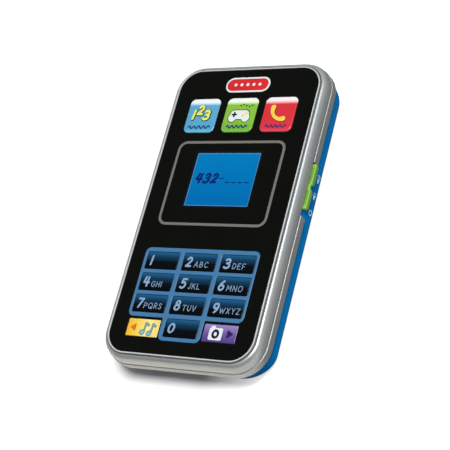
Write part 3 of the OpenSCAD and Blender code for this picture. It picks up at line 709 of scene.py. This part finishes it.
def numbers_tile():
    face = tile_face("numbers_face", rgb(94, 172, 212), rgb(84, 170, 214), rgb(124, 198, 228))
    key_piece("numbers_tile", TILE_R, TILE_EDGE, face)
    legend = Layers()
    shadow = plastic("numbers_shadow", rgb(26, 76, 62), 0.35, strength=0.1)
    figures = (("1", -5.4, -1.6), ("2", -2.6, 0.6), ("3", 0.9, -1.9))
    for material, width, shift in ((shadow, 1.85 * MM, 0.22 * MM), (YELLOW_INK, 1.15 * MM, 0)):
        for figure, x, y in figures:
            lettering(legend, material, figure, 4.1 * MM, width, x * MM + shift, y * MM - shift)
        legend.next()
    wavy_line(legend, INK, 11 * MM, -5.8 * MM)
    legend.piece("numbers_tile_legend", "numbers_tile_cap", "tile_blue", key_top("numbers_tile"))


def games_tile():
    """A game pad with its cross and buttons"""
    face = tile_face("games_face", rgb(140, 198, 62), rgb(118, 188, 62), rgb(134, 202, 84))
    key_piece("games_tile", TILE_R, TILE_EDGE, face)
    legend = Layers()

    def pad(material, grow):
        legend.shape(material, rectangle(9.4 * MM + 2 * grow, 4.4 * MM + 2 * grow, 2.1 * MM + grow))
        for side in (-1, 1):
            legend.shape(material, ellipse(1.9 * MM + grow, 2.2 * MM + grow, side * 3.3 * MM, -1.3 * MM))

    pad(BLACK_INK, 0.35 * MM)
    dots(legend, BLACK_INK, [(x * MM, y * MM) for x, y in ((-0.4, 4.6), (1.0, 5.0), (2.4, 4.4), (3.9, 4.0),
                                                           (5.3, 4.5))], 0.4 * MM)
    legend.next()
    pad(WHITE_INK, 0)
    legend.next()
    for w, h in ((2.6, 0.8), (0.8, 2.6)):
        legend.shape(BLACK_INK, rectangle(w * MM, h * MM, 0.15 * MM, x=-2.6 * MM, y=0.1 * MM))
    dots(legend, YELLOW_INK, [(1.9 * MM, -0.5 * MM), (3.4 * MM, 0.7 * MM)], 0.75 * MM)
    wavy_line(legend, INK, 10 * MM, -5.8 * MM)
    legend.piece("games_tile_legend", "games_tile_cap", "tile_green", key_top("games_tile"))


def calling_tile():
    """A telephone handset"""
    face = tile_face("calling_face", rgb(224, 52, 62), rgb(228, 56, 74), rgb(232, 84, 104))
    key_piece("calling_tile", TILE_R, TILE_EDGE, face)
    legend = Layers()
    shadow = plastic("handset_shadow", rgb(120, 30, 26), 0.35, strength=0.1)
    yellow = plastic("handset_yellow", rgb(255, 216, 84), 0.3, strength=0.1)

    def handset(material, x, y, grow):
        path = arc_points(4.7 * MM, 168, 284, x, y, 16)
        middle_w, end_w = 1.5 * MM + 2 * grow, 2.5 * MM + 2 * grow
        widths = [middle_w + (end_w - middle_w) * abs(2 * i / 16 - 1) ** 2.5 for i in range(17)]
        legend.shape(material, stroke(path, widths))

    handset(shadow, 1.75 * MM, 2.0 * MM, 0.16 * MM)
    legend.next()
    handset(yellow, 1.5 * MM, 2.3 * MM, 0)
    wavy_line(legend, INK, 10 * MM, -5.8 * MM)
    legend.piece("calling_tile_legend", "calling_tile_cap", "tile_red", key_top("calling_tile"))


numbers_tile()
games_tile()
calling_tile()


# ---------------------------------------------------------------- inside

def tube(name, path, r, sides=8):
    """A round bar along a path, with flat ends"""
    points = [Vector(p) for p in path]
    rings = []
    side = None
    for i, here in enumerate(points):
        along = (points[min(i + 1, len(points) - 1)] - points[max(i - 1, 0)]).normalized()
        side = (side or along.orthogonal()) - (side or along.orthogonal()).project(along)
        side.normalize()
        up = along.cross(side)
        rings.append([tuple(here + r * (math.cos(2 * math.pi * k / sides) * side
                                        + math.sin(2 * math.pi * k / sides) * up)) for k in range(sides)])
    return loft(name, rings, [])


def turned_along_y(profile, x, z, steps=40):
    """Rings of points round a line along Y: the profile is (y, radius)"""
    return [[(x + r * math.cos(2 * math.pi * i / steps), y, z + r * math.sin(2 * math.pi * i / steps))
             for i in range(steps)] for y, r in profile]


# Each cell, and 1 where its nub points to the speaker end
CELLS = (("battery_1", 1), ("battery_2", -1), ("battery_3", 1))


def cell(node, facing):
    """A dry cell: a wrapped can with a turned-in rim, and its nub"""
    low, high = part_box(node)
    x, z = (low.x + high.x) / 2, (low.z + high.z) / 2
    r = (high.x - low.x) / 2
    flat_y, nub_y = (low.y, high.y) if facing > 0 else (high.y, low.y)
    nub_l, nub_r = 0.8 * MM, 1.9 * MM
    shoulder_y = nub_y - facing * nub_l
    wrap = gradient(node + "_wrap", [
        (0.0, rgb(44, 50, 58)), (0.68, rgb(50, 56, 64)), (0.7, rgb(214, 216, 214)),
        (0.74, rgb(214, 216, 214)), (0.76, rgb(40, 122, 176)), (1.0, rgb(46, 132, 188))],
        flat_y, shoulder_y, rough=0.3)
    steel = SLOT_MATERIALS["bright_steel"]

    def along(profile):
        return turned_along_y(profile, x, z)

    def at(distance):
        return flat_y + facing * distance * MM

    length = abs(shoulder_y - flat_y) / MM
    sleeve = [(at(0.25), r - 0.5 * MM), (at(0.35), r - 0.05 * MM), (at(0.6), r), (at(length - 0.6), r),
              (at(length - 0.3), r - 0.1 * MM), (at(length - 0.2), r - 0.6 * MM)]
    base = [(at(0.0), 0.4 * r), (at(0.0), r - 0.9 * MM), (at(0.3), r - 0.5 * MM), (at(1.0), r - 0.4 * MM)]
    crown = [(at(length - 1.0), r - 0.4 * MM), (at(length - 0.1), r - 0.8 * MM), (at(length - 0.1), 2.4 * MM),
             (at(length - 0.05), nub_r), (nub_y - facing * 0.15 * MM, nub_r), (nub_y, 1.7 * MM)]
    parts = [(loft("part", along(each), []), made)
             for each, made in ((base, steel), (sleeve, wrap), (crown, steel))]
    mesh_piece(node + "_cell", joined(node + "_cell", parts), "phone", stands_for=[node])


def cells():
    for node, facing in CELLS:
        cell(node, facing)


def coil_springs():
    """Conical springs wound from one wire each, on the plates that hold them"""
    low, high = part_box("battery_springs")
    plate_half, plate_t, wire_r, turns, steps = 4 * MM, 0.4 * MM, 0.36 * MM, 3.6, 90
    wide_r, narrowing = 3.6, 1.6
    reach = 3.0 * MM - wire_r
    parts = []
    for node, facing in CELLS:
        cell_low, cell_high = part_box(node)
        x, z = (cell_low.x + cell_high.x) / 2, (cell_low.z + cell_high.z) / 2
        wall_y = low.y if facing > 0 else high.y
        path = []
        for i in range(steps + 1):
            t = i / steps
            r = (wide_r - narrowing * t) * MM
            a = 2 * math.pi * turns * t
            y = wall_y + facing * (plate_t + wire_r + (reach - plate_t - wire_r) * t)
            path.append((x + r * math.cos(a), y, z + r * math.sin(a)))
        parts.append((tube("wire", path, wire_r), SLOT_MATERIALS["bright_steel"]))
        outline = rectangle(2 * plate_half, 2 * plate_half, 0.6 * MM, x, z)
        plate = flat_mesh([outline], 0, plate_t, 0.06 * MM)
        plate.transform(Matrix(((1, 0, 0, 0), (0, 0, facing, wall_y), (0, 1, 0, 0), (0, 0, 0, 1))))
        parts.append((plate, SLOT_MATERIALS["bright_steel"]))
    mesh_piece("coil_springs", joined("coil_springs", parts), "phone",
               stands_for=["battery_springs"])


def board_print():
    """Copper tracks, pads and switch combs printed on both faces of the circuit board"""
    low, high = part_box("main_board")
    copper = metal("track_copper", rgb(214, 150, 70), 0.35)
    mask = plastic("track_mask", rgb(46, 132, 84), 0.35, strength=0.1)
    r = 1.6 * MM
    top = Layers()
    for node in DIGIT_KEYS + ["music_key", "camera_key", "numbers_tile", "games_tile", "calling_tile"]:
        at = middle(node)
        for start in (10, 190):
            top.shape(copper, stroke(arc_points(r, start, start + 160, at.x, at.y), 0.3 * MM))
        for i in (-1, 0, 1):
            y = at.y + i * 0.8 * MM
            top.shape(copper, stroke([(at.x - 1.1 * MM, y), (at.x + 1.1 * MM, y)], 0.25 * MM))
        turn_y = at.y + 3.6 * MM
        top.shape(mask, stroke([(at.x, at.y + 2 * MM), (at.x, turn_y), (at.x + 4 * MM, turn_y)], 0.3 * MM))
    top.piece("board_combs", "phone", "bright_steel", (0, 0, high.z))
    under = Layers()
    chip_y = middle("sound_chip").y
    tracks, run = 14, 5 * MM
    for i in range(tracks):
        a = 360 * (i + 0.5) / tracks
        start = arc_points(6.2 * MM, a, a, 0, chip_y, 1)[0]
        end = arc_points(9.4 * MM, a, a, 0, chip_y, 1)[0]
        away = (end[0] + (run if end[0] > 0 else -run), end[1])
        under.shape(mask, stroke([start, end, away], 0.45 * MM))
        under.shape(copper, ellipse(0.6 * MM, 0.6 * MM, away[0], away[1], 14))
    turned = Matrix.Rotation(math.pi, 4, "Y")
    under.piece("board_tracks", "phone", "bright_steel", (0, 0, low.z), turned)


cells()
coil_springs()
board_print()


# ---------------------------------------------------------------- the face

def keypad_lattice():
    """The blue lattice, its edges rounded, in place of the CAD plate"""
    low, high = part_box("keypad_bezel")
    border = high.y - middle("key_1").y - KEY_H / 2
    step_y = middle("key_8").y - KEY_H / 2 - border
    box_x = KEY_W / 2 + border
    outline = rounded_outline([
        (high.x, high.y), (-high.x, high.y), (-high.x, step_y), (-box_x, step_y, 0.6 * MM), (-box_x, low.y),
        (box_x, low.y), (box_x, step_y, 0.6 * MM), (high.x, step_y)], 2.5 * MM)
    gap = 0.15 * MM
    holes = []
    for node in DIGIT_KEYS:
        at = middle(node)
        holes.append(rectangle(KEY_W + 2 * gap, KEY_H + 2 * gap, 0.8 * MM, at.x, at.y, 4))
    mesh = flat_mesh([outline] + holes, low.z, high.z, 0.22 * MM)
    mesh.materials.append(SLOT_MATERIALS["blue_lattice"])
    mesh_piece("keypad_lattice", smooth(mesh), "phone", stands_for=["keypad_bezel"])


WINDOW_W, WINDOW_H = 31.4 * MM, 25.1 * MM


def window_ring():
    """The grey line printed round the display, and the navy edge of its window"""
    navy = plastic("window_navy", rgb(4, 16, 38), 0.2, strength=0.1)
    grey = plastic("ring_grey", rgb(122, 118, 114), 0.35, gloss=0.2, strength=0.15)
    low_y, high_y, half_w, width, corner = -8.7 * MM, 31.25 * MM, 26.6 * MM, 1.2 * MM, 4.2 * MM
    y = (low_y + high_y) / 2
    w, h = 2 * half_w, high_y - low_y
    lines = Layers(0)
    lines.shape(grey, rectangle(w, h, corner, 0, y, 10),
                rectangle(w - 2 * width, h - 2 * width, corner - width, 0, y, 10))
    edge = 0.7 * MM
    window_y = middle("display_lens").y
    lines.shape(navy, rectangle(WINDOW_W + 2 * edge, WINDOW_H + 2 * edge, edge + 0.4 * MM, 0, window_y),
                rectangle(WINDOW_W, WINDOW_H, 0.4 * MM, 0, window_y))
    lines.piece("window_ring", "phone", "silver_paint", (0, 0, PANEL_TOP))


def display_picture():
    """What the display shows: a dialled number on blue, in a thin light frame"""
    low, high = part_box("display_lens")
    w, h = WINDOW_W - 0.1 * MM, WINDOW_H - 0.1 * MM
    blue = gradient("display_lit", [
        (0.0, rgb(0, 104, 172)), (0.5, rgb(0, 114, 180)), (1.0, rgb(0, 122, 186))], -h / 2, h / 2, rough=0.12,
        Specular_IOR_Level=0.15)
    shader = blue.node_tree.nodes["Principled BSDF"]
    shader.inputs["Emission Color"].default_value = rgb(0, 112, 190)
    shader.inputs["Emission Strength"].default_value = 0.12
    frame_line = plastic("display_line", rgb(84, 146, 190), 0.15, strength=0.05)
    ink = plastic("display_ink", rgb(2, 34, 108), 0.2, strength=0.05)
    y = (low.y + high.y) / 2
    picture = Layers()
    picture.shape(frame_line, rectangle(w, h, 0.15 * MM))
    picture.next()
    picture.shape(blue, rectangle(w - 0.8 * MM, h - 0.8 * MM, 0.1 * MM))
    picture.next()
    left, baseline = -w / 2, -1.5 * MM
    lettering(picture, ink, "432", 4.0 * MM, 1.15 * MM, left + 2.2 * MM, baseline, slant=0.27, gap=0.3 * MM)
    # each dash in mm: its left end, its length, and how far it stands above the baseline
    dashes = [(14.2, 1.9, 1.9)] + [(17.2 + 3.25 * i, 1.8, 0.1) for i in range(4)]
    for x, length, lift in dashes:
        start = left + x * MM
        level = baseline + lift * MM
        picture.shape(ink, stroke([(start, level), (start + length * MM, level)], 0.5 * MM, 3))
    picture.piece("display_picture", "phone", "display_blue", (0, y, high.z))


def badge():
    """A plain red capsule with a white rim"""
    red = plastic("badge_red", rgb(222, 40, 42), 0.25, strength=0.1)
    w, h, y = 22 * MM, 7.4 * MM, 58.65 * MM
    rim, dot_r, dot_step = 0.8 * MM, 0.75 * MM, 3 * MM
    field = rectangle(w - 2 * rim, h - 2 * rim, h / 2 - rim, steps=12)
    shapes = [(flat_mesh([rectangle(w, h, h / 2, steps=12)], -SUNK, 0.14 * MM, 0.08 * MM), WHITE_INK),
              (flat_mesh([field], 0, 0.2 * MM, 0.05 * MM), red)]
    for i in range(-2, 3):
        dot = ellipse(dot_r, dot_r, i * dot_step, 0, 20)
        shapes.append((flat_mesh([dot], 0.1 * MM, 0.22 * MM, 0.01 * MM), WHITE_INK))
    mesh_piece("badge", joined("badge", shapes), "phone", (0, y, PANEL_TOP))


def round_the_face(inset):
    """An outline that follows the side of the phone, at a distance inside it"""
    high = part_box("side_band")[1]
    corner = 13.4 * MM
    return rectangle(2 * (high.x - inset), 2 * (high.y - inset), corner - inset, steps=12)


def groove_painted_shade():
    """A dark grey ring laid in the groove between the lip round the face and the silver rim: painted shade,
    standing for the shadow in the groove
    """
    low_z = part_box("front_housing")[1].z - 1.1 * MM
    # painted shade: this grey ring darkens the groove where only shadow falls
    groove_shade = plastic("groove_shade_grey", rgb(98, 99, 100), 0.6, gloss=0.2, strength=0.2)
    mesh = flat_mesh([round_the_face(2.62 * MM), round_the_face(3.2 * MM)],
                     low_z, low_z + 0.5 * MM, 0.2 * MM, 3)
    mesh.materials.append(groove_shade)
    mesh_piece("groove_painted_shade", smooth(mesh), "phone")


def lip_bead():
    """The rounded edge of the lip, next to the black face, in a silver lighter than the rim's: a real bead
    whose extra brightness is a painted highlight
    """
    top_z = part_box("front_housing")[1].z
    # painted highlight: a diffuse silver lighter than the rim's paint, so the lip reads as a bright line
    bright = plastic("bead_painted_highlight", rgb(208, 211, 211), 0.35, gloss=0.4, strength=0.08)
    mesh = flat_mesh([round_the_face(3.26 * MM), round_the_face(3.86 * MM)],
                     top_z - 0.3 * MM, top_z + 0.12 * MM, 0.2 * MM, 4)
    mesh.materials.append(bright)
    mesh_piece("lip_bead", smooth(mesh, 80), "phone")


lip_bead()
groove_painted_shade()
keypad_lattice()
window_ring()
display_picture()
badge()


# ---------------------------------------------------------------- the side

SIDE_FACE = Matrix(((0, 0, 1, 0), (1, 0, 0, 0), (0, 1, 0, 0), (0, 0, 0, 1)))   # X to +Y, Y to +Z, Z to +X
SIDE_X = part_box("rear_housing")[1].x


def volume_marks():
    """Light marks beside the slide switch: loud, soft and off"""
    pale = plastic("mark_pale", (0.5, 0.76, 0.92, 1), 0.35, strength=0.1)
    marks = Layers()

    def horn(y, waves):
        marks.shape(pale, rounded_outline([
            (y - 1.6 * MM, -0.5 * MM), (y - 0.7 * MM, -0.5 * MM), (y + 0.2 * MM, -1.25 * MM),
            (y + 0.2 * MM, 1.25 * MM), (y - 0.7 * MM, 0.5 * MM), (y - 1.6 * MM, 0.5 * MM)], 0.12 * MM, 3))
        for i in range(waves):
            marks.shape(pale, stroke(arc_points((1.1 + 0.75 * i) * MM, -44, 44, y, 0, 8), 0.32 * MM))

    horn(19.9 * MM, 2)
    horn(12.5 * MM, 1)
    off_y = 4.75 * MM
    marks.shape(pale, ellipse(1.35 * MM, 1.35 * MM, off_y), ellipse(0.9 * MM, 0.9 * MM, off_y))
    marks.piece("volume_marks", "phone", "slider_green", (SIDE_X, 0, 5.45 * MM), SIDE_FACE)


def slider():
    """The green slider: two rounded lobes on one strip, with the fork that carries the lever"""
    low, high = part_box("power_slider")
    green = SLOT_MATERIALS["slider_green"]
    notch_y, notch_half, strip_t = 12.75 * MM, 0.75 * MM, 0.8 * MM
    strip_inset, strip_drop, strip_r = 1.5 * MM, 0.35 * MM, 0.3 * MM
    x0 = SIDE_X + 0.1 * MM

    def pad(y0, y1, z0, top_r, foot_r, bevel):
        outline = rounded_outline([
            (y0, high.z, top_r), (y0, z0, foot_r), (y1, z0, foot_r), (y1, high.z, top_r)], 0)
        return flat_mesh([outline], x0, high.x - (0 if z0 == low.z else strip_drop), bevel, 4), green

    def lobe(y0, y1):
        return pad(y0, y1, low.z, 0.7 * MM, 1.7 * MM, 0.5 * MM)

    parts = [lobe(low.y, notch_y - notch_half), lobe(notch_y + notch_half, high.y),
             pad(low.y + strip_inset, high.y - strip_inset, high.z - strip_t, strip_r, strip_r, 0.15 * MM)]
    lever_low, lever_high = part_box("switch_lever")
    apart, half = 1.95 * MM, 0.65 * MM
    for side in (-1, 1):
        prong_y = (lever_low.y + lever_high.y) / 2 + side * apart
        prong = rounded_outline([
            (prong_y - half, lever_low.z), (prong_y + half, lever_low.z),
            (prong_y + half, lever_high.z), (prong_y - half, lever_high.z)], 0.15 * MM, 3)
        parts.append((flat_mesh([prong], low.x, x0 + 0.6 * MM, 0.05 * MM), green))
    mesh_piece("slider_button", joined("slider_button", parts), "slider", turned=SIDE_FACE,
               stands_for=["power_slider"])


volume_marks()
slider()


# ---------------------------------------------------------------- room, lights and camera

def floor():
    """A pale floor in the plane of the phone's back. Rays other than the camera's see it dark,
    but reflections see it bright in front of the phone's lower end. The camera sees it glow, from
    near the phone's middle up to its full glow past the right side."""
    low = cad_box[0]
    size = 3.0
    seen_dark, front_bright, right_glow = 0.1, 0.8, 0.8
    black, warm_white, white = (0, 0, 0, 1), (1.0, 0.95, 0.86, 1), (1, 1, 1, 1)
    mesh = bpy.data.meshes.new("floor")
    mesh.from_pydata([(-size, -size, low.z), (size, -size, low.z), (size, size, low.z), (-size, size, low.z)],
                     [], [(0, 1, 2, 3)])
    made, tree, shader, place = new_material("floor_white", Roughness=0.9, Specular_IOR_Level=0.0)
    shade = noise(tree, place, 0.3, 2.0)
    pale = tint(tree, (0.66, 0.66, 0.66, 1), shade, 0.99, 1.01)
    rays = add(tree, "LightPath").outputs
    at = add(tree, "SeparateXYZ", Vector=place).outputs

    def across(axis, low, high, at_low, at_high):
        return add(tree, "MapRange", Value=at[axis], From_Min=low, From_Max=high, To_Min=at_low,
                   To_Max=at_high).outputs[0]

    mirrored = add(tree, "Math", {"operation": "MULTIPLY_ADD"}, i0=rays["Is Glossy Ray"],
                   i1=across("Y", -0.078, -0.066, front_bright, 0.0), i2=seen_dark).outputs[0]
    warm = add(tree, "Mix", {"data_type": "RGBA"}, i0=mirrored, i6=black, i7=warm_white).outputs[2]
    cast = add(tree, "Mix", {"data_type": "RGBA"}, i0=rays["Is Camera Ray"], i6=warm, i7=pale).outputs[2]
    tree.links.new(cast, shader.inputs["Base Color"])
    glow = add(tree, "Math", {"operation": "MULTIPLY"}, i0=rays["Is Camera Ray"],
               i1=across("X", 0.004, 0.04, 0.0, right_glow)).outputs[0]
    shader.inputs["Emission Color"].default_value = white
    tree.links.new(glow, shader.inputs["Emission Strength"])
    mesh.materials.append(made)
    ground = bpy.data.objects.new("floor", mesh)
    bpy.context.scene.collection.objects.link(ground)


def look_from(direction):
    """The turn that makes a light or camera face the origin from a direction"""
    return Vector(direction).to_track_quat("Z", "Y").to_matrix().to_4x4()


def sun(name, direction, strength, angle):
    lamp = bpy.data.lights.new(name, "SUN")
    lamp.energy = strength
    lamp.angle = math.radians(angle)
    holder = bpy.data.objects.new(name, lamp)
    holder.matrix_world = look_from(direction)
    bpy.context.scene.collection.objects.link(holder)


def panel_light(name, direction, distance, size, power):
    """A soft square light that faces the phone, and isn't mirrored in it"""
    lamp = bpy.data.lights.new(name, "AREA")
    lamp.energy = power
    lamp.size = size
    holder = bpy.data.objects.new(name, lamp)
    holder.visible_glossy = False
    holder.matrix_world = Matrix.Translation(Vector(direction).normalized() * distance) @ look_from(direction)
    bpy.context.scene.collection.objects.link(holder)


def world():
    """White to the camera. To other rays a soft dome, warm and dim towards -Y, whose reflections
    darken overhead as in a studio with black cloth above the table."""
    made = bpy.data.worlds.new("studio")
    bpy.context.scene.world = made
    made.use_nodes = True
    tree = made.node_tree
    background = tree.nodes["Background"]
    warm, cool, white = (1.0, 0.94, 0.84, 1), (0.97, 0.99, 1.0, 1), (1, 1, 1, 1)
    rays = add(tree, "LightPath").outputs
    direction = add(tree, "SeparateXYZ", Vector=add(tree, "TexCoord").outputs["Generated"]).outputs

    def fade(axis, low, high, at_low, at_high):
        return add(tree, "MapRange", Value=direction[axis], From_Min=low, From_Max=high, To_Min=at_low,
                   To_Max=at_high).outputs[0]

    mirrored = add(tree, "Math", {"operation": "MULTIPLY"}, i0=fade("Z", 0.1, 0.55, 0.9, 0.08),
                   i1=fade("Y", -0.6, 0.2, 0.3, 1.0)).outputs[0]
    soft = fade("Y", -1, 0.6, 0.05, 0.5)
    dome = add(tree, "Mix", i0=rays["Is Glossy Ray"], i2=soft, i3=mirrored).outputs[0]
    toned = fade("Y", -0.7, 0.0, 0.0, 1.0)
    tone = add(tree, "Mix", {"data_type": "RGBA"}, i0=toned, i6=warm, i7=cool).outputs[2]
    color = add(tree, "Mix", {"data_type": "RGBA"}, i0=rays["Is Camera Ray"], i6=tone, i7=white).outputs[2]
    tree.links.new(color, background.inputs["Color"])
    strength = add(tree, "Mix", i0=rays["Is Camera Ray"], i2=dome, i3=1.0).outputs[0]
    tree.links.new(strength, background.inputs["Strength"])


def camera():
    lens = bpy.data.cameras.new("camera")
    lens.lens = 108
    lens.sensor_width = 36
    holder = bpy.data.objects.new("camera", lens)
    place = (0.2998, -0.2029, 0.4492)
    right = Vector((0.8498, 0.2447, -0.4669))
    up = Vector((-0.0256, 0.9039, 0.4270))
    turn = Matrix((right, up, right.cross(up))).transposed().to_4x4()
    holder.matrix_world = Matrix.Translation(place) @ turn
    bpy.context.scene.collection.objects.link(holder)
    bpy.context.scene.camera = holder


floor()
world()
sun("key_light", (0.28, 0.12, 1.0), 4.9, 26)
panel_light("side_fill", (1.0, -0.2, 0.33), 1.2, 0.8, 5.2)
camera()
bpy.context.scene.view_settings.view_transform = "Standard"
